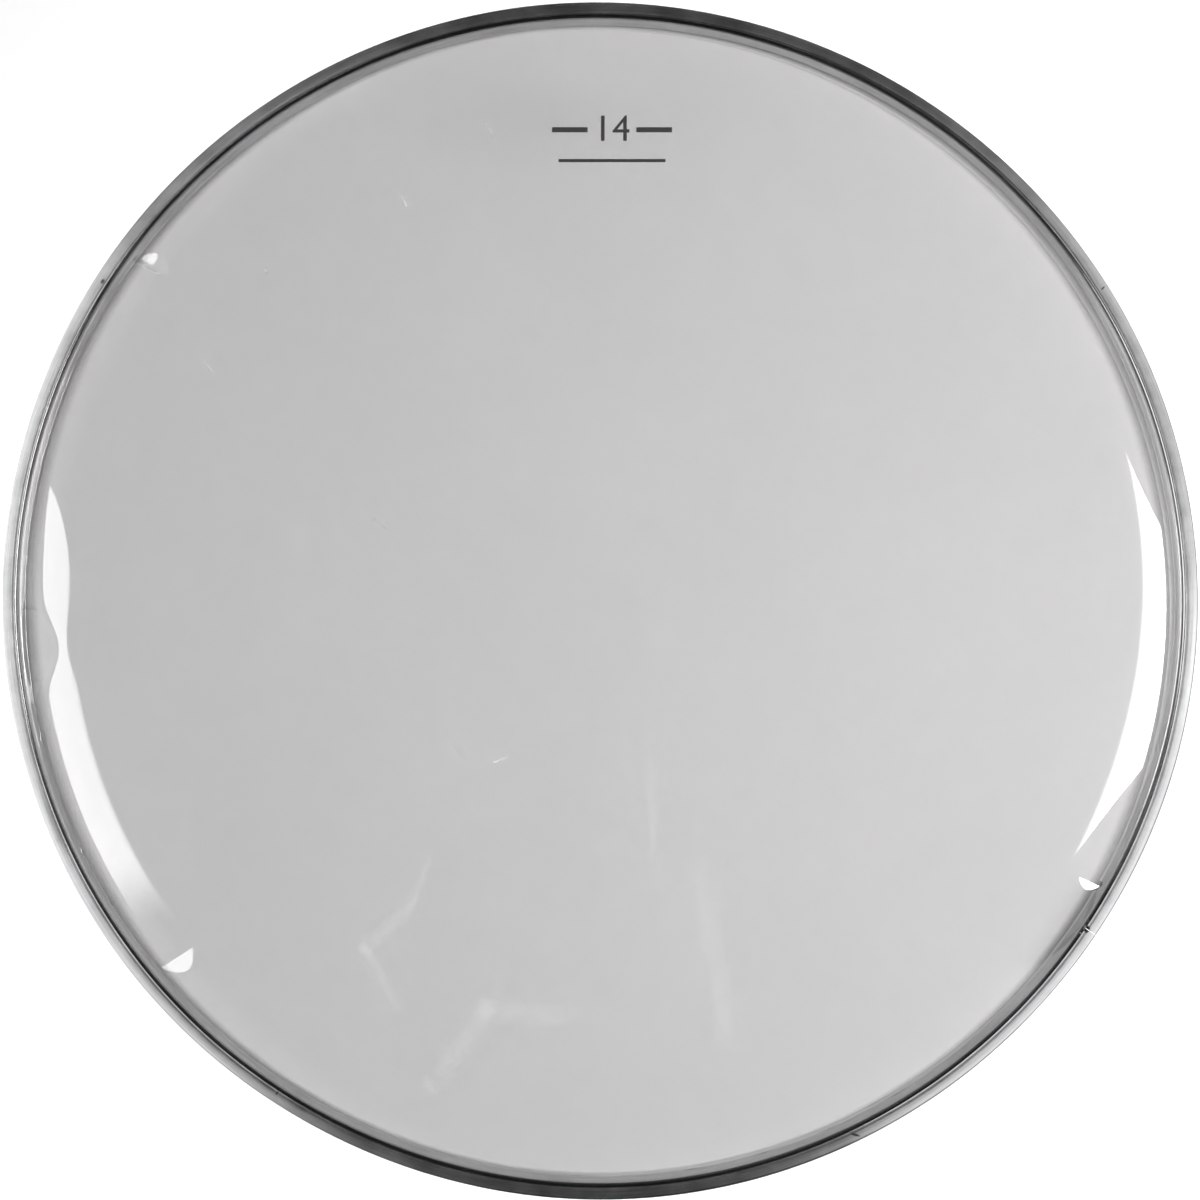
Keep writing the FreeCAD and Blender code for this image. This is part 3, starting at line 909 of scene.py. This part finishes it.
def make_size_mark(material):
    centre = film_point(MARK_CENTRE_PIXELS)
    points, faces = [], []
    for offset, size in ((Vector((-MARK_BAR_OFFSET, 0.0, 0.0)), MARK_BAR),
                         (Vector((MARK_BAR_OFFSET, 0.0, 0.0)), MARK_BAR),
                         (Vector((0.0, -MARK_RULE_DROP, 0.0)), MARK_RULE)):
        more_points, more_faces = bar_of_ink(centre + offset, size)
        faces += [tuple(i + len(points) for i in face) for face in more_faces]
        points += more_points
    text = bpy.data.curves.new("digits", "FONT")
    text.body = MARK_DIGITS
    text.align_x = "CENTER"
    text.align_y = "CENTER"
    text.size = MARK_HEIGHT / DIGIT_SHARE
    text.extrude = INK_THICKNESS / 2
    helper = bpy.data.objects.new("digits", text)
    bpy.context.scene.collection.objects.link(helper)
    bpy.context.view_layer.update()
    digits = bpy.data.meshes.new_from_object(helper)
    first = len(points)
    level = FILM_TOP - INK_THICKNESS / 2
    points += [(v.co.x + centre.x, v.co.y + centre.y, v.co.z + level) for v in digits.vertices]
    faces += [tuple(i + first for i in face.vertices) for face in digits.polygons]
    bpy.data.objects.remove(helper)
    bpy.data.meshes.remove(digits)
    return add_piece("size_mark", points, faces, material, sharp_degrees=30.0)


# Stage, lights and camera

FLOOR_REACH = 8.0

# Softboxes: name, middles of the lower and of the upper edge, width, power, shares that fade to the top and
# to one side
SOFTBOXES = (("right_softbox", (1.31, -0.122, 0.215), (0.668, -0.087, 1.157), 0.575, 37.0, 0.35, 0.0),
             ("left_softbox", (-0.54, -0.117, 0.195), (-0.692, -0.236, 3.376), 0.495, 18.4, 0.7, 0.2))

# Panels for the metal: name, (azimuth, distance, height) of the lower and of the upper edge, width, power
PANELS = (("right_panel", (-36.0, 1.6, 0.0), (-20.0, 1.1, 3.0), 1.7, 25.0),
          ("side_panel", (15.0, 1.6, 0.0), (15.0, 1.1, 3.0), 1.36, 13.0),
          ("left_panel", (190.0, 1.6, 0.0), (190.0, 1.1, 3.0), 2.9, 34.0),
          ("right_top_panel", (-35.0, 0.75, 0.8), (-35.0, 0.13, 0.95), 0.3, 0.2),
          ("left_top_panel", (184.0, 0.75, 0.8), (184.0, 0.12, 0.95), 0.5, 0.35),
          ("top_panel", (0.0, 0.6, 2.9), (180.0, 0.6, 2.9), 0.8, 0.05))
PANEL_FADE_SHARE = 0.1

# Brightness of the room: the sky at the horizon and overhead, the wall at the left, the low strip on it
ROOM_SKY = (0.015, 0.05)
ROOM_WALL = 0.3
ROOM_STRIP = 0.6


def make_floor():
    material = new_material("pale_floor")
    tree = material.node_tree
    grain = cloud(tree, object_position(tree), 160.0, 2.0, 0.5)
    shader = add_node(tree, "BsdfPrincipled", {
        "Base Color": (0.9, 0.9, 0.9, 1.0),
        "Roughness": remap(tree, grain, 0.3, 0.7, 0.7, 0.9),
        "Specular IOR Level": 0.1})
    finish_material(material, shader.outputs[0])
    mesh = bpy.data.meshes.new("floor")
    mesh.from_pydata([(FLOOR_REACH * x, FLOOR_REACH * y, 0.0) for x, y in SQUARE], [], [(0, 1, 2, 3)])
    mesh.materials.append(material)
    floor = bpy.data.objects.new("floor", mesh)
    bpy.context.scene.collection.objects.link(floor)


def add_softbox(name, lower, upper, width, power, fade_share, side_fade_share=0.0):
    """A softbox between two points, turned to the axis, that fades to the top and to one side."""
    light = bpy.data.lights.new(name, "AREA")
    light.shape = "RECTANGLE"
    light.size = width
    light.size_y = (upper - lower).length
    light.energy = power
    light.use_nodes = True
    tree = light.node_tree
    tree.nodes.clear()
    across = add_node(tree, "NewGeometry").outputs["Parametric"]
    places = add_node(tree, "SeparateXYZ", {0: across}).outputs
    strength = remap(tree, places[1], 1.0 - fade_share, 1.0, 1.0, 0.0)
    if side_fade_share:
        side_strength = remap(tree, places[0], 1.0 - side_fade_share, 1.0, 1.0, 0.0)
        strength = calculate(tree, "MULTIPLY", strength, side_strength)
    glow = add_node(tree, "Emission", {"Strength": strength})
    output = add_node(tree, "OutputLight")
    tree.links.new(glow.outputs[0], output.inputs["Surface"])
    softbox = bpy.data.objects.new(name, light)
    middle = (lower + upper) / 2
    long_way = (upper - lower).normalized()
    away = Vector((middle.x, middle.y, middle.z - FILM_TOP))
    back = (away - long_way * away.dot(long_way)).normalized()
    axes = Matrix((long_way.cross(back), long_way, back)).transposed()
    softbox.matrix_world = Matrix.Translation(middle) @ axes.to_4x4()
    bpy.context.scene.collection.objects.link(softbox)
    return softbox


def light_group(name, pieces, state):
    """A group of pieces that a light takes in or leaves out."""
    group = bpy.data.collections.new(name)
    for piece in pieces:
        group.objects.link(piece)
    for entry in group.collection_objects:
        entry.light_linking.link_state = state
    return group


def around_axis(azimuth, distance, height):
    """The point at an azimuth in degrees, a distance from the axis and a height."""
    turn = math.radians(azimuth)
    return Vector((distance * math.cos(turn), distance * math.sin(turn), height))


def make_lights(hoop, resin, film):
    """Two softboxes for film, resin and floor, and wide dim panels that only light the metal."""
    not_metal = light_group("not_metal", (hoop,), "EXCLUDE")
    only_metal = light_group("only_metal", (hoop,), "INCLUDE")
    no_shade = light_group("no_shade", (hoop, resin, film), "EXCLUDE")
    for name, lower, upper, width, power, fade_share, side_fade_share in SOFTBOXES:
        softbox = add_softbox(name, Vector(lower), Vector(upper), width, power, fade_share, side_fade_share)
        softbox.light_linking.receiver_collection = not_metal
        softbox.light_linking.blocker_collection = no_shade
    for name, lower, upper, width, power in PANELS:
        panel = add_softbox(name, around_axis(*lower), around_axis(*upper), width, power, PANEL_FADE_SHARE)
        panel.light_linking.receiver_collection = only_metal


def make_world():
    """A dim room: a faint sky, a wall at the left and a brighter low strip on it."""
    world = bpy.data.worlds.new("studio")
    world.use_nodes = True
    tree = world.node_tree
    tree.nodes.clear()
    towards = add_node(tree, "TexCoord").outputs["Generated"]
    parts = add_node(tree, "SeparateXYZ", {0: towards}).outputs
    across, up = parts[0], parts[2]
    wall = calculate(tree, "MULTIPLY", remap(tree, across, -0.6, -0.2, ROOM_WALL, 0.0),
                     remap(tree, up, 0.6, 0.9, 1.0, 0.0))
    strip = calculate(tree, "MULTIPLY", remap(tree, across, -0.95, -0.85, ROOM_STRIP, 0.0),
                      remap(tree, up, 0.1, 0.4, 1.0, 0.0))
    sky = calculate(tree, "ADD", strip, remap(tree, up, 0.0, 1.0, *ROOM_SKY))
    background = add_node(tree, "Background", {"Strength": calculate(tree, "ADD", wall, sky)})
    output = add_node(tree, "OutputWorld")
    tree.links.new(background.outputs[0], output.inputs["Surface"])
    bpy.context.scene.world = world


def make_camera():
    """Straight above the head, with the rim's outline as large in the frame as in the photograph."""
    data = bpy.data.cameras.new("camera")
    data.sensor_width = SENSOR_WIDTH
    rim_share = 2.0 * RIM_RADIUS_PIXELS / FRAME_PIXELS
    rim_distance = CAMERA_HEIGHT - (HOOP_TOP - CROWN_RISE)
    data.lens = SENSOR_WIDTH * rim_share * rim_distance / (2.0 * HOOP_OUTSIDE)
    camera = bpy.data.objects.new("camera", data)
    camera.location = ((FRAME_PIXELS / 2 - RIM_CENTRE_PIXELS[0]) * PIXEL,
                       (RIM_CENTRE_PIXELS[1] - FRAME_PIXELS / 2) * PIXEL, CAMERA_HEIGHT)
    bpy.context.scene.collection.objects.link(camera)
    bpy.context.scene.camera = camera


hoop_metal = aluminium("hoop_aluminium", (0.86, 0.865, 0.87), (0.33, 0.43), 3500.0, 0.02 * MM, HOOP_MARKS)
hoop = make_hoop(hoop_metal)
resin = make_resin(cast_resin())
film = make_film(clear_film("clear_film", ()), clear_film("scuffed_film", SCUFFS))
make_size_mark(printing_ink())
slug_metal = aluminium("slug_aluminium", (0.72, 0.725, 0.73), (0.35, 0.5), 4000.0, 0.03 * MM, ())
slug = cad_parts["joint_slug"]
slug.data.materials.clear()
slug.data.materials.append(slug_metal)

make_floor()
make_lights(hoop, resin, film)
make_world()
make_camera()
bpy.context.scene.view_settings.view_transform = "Standard"
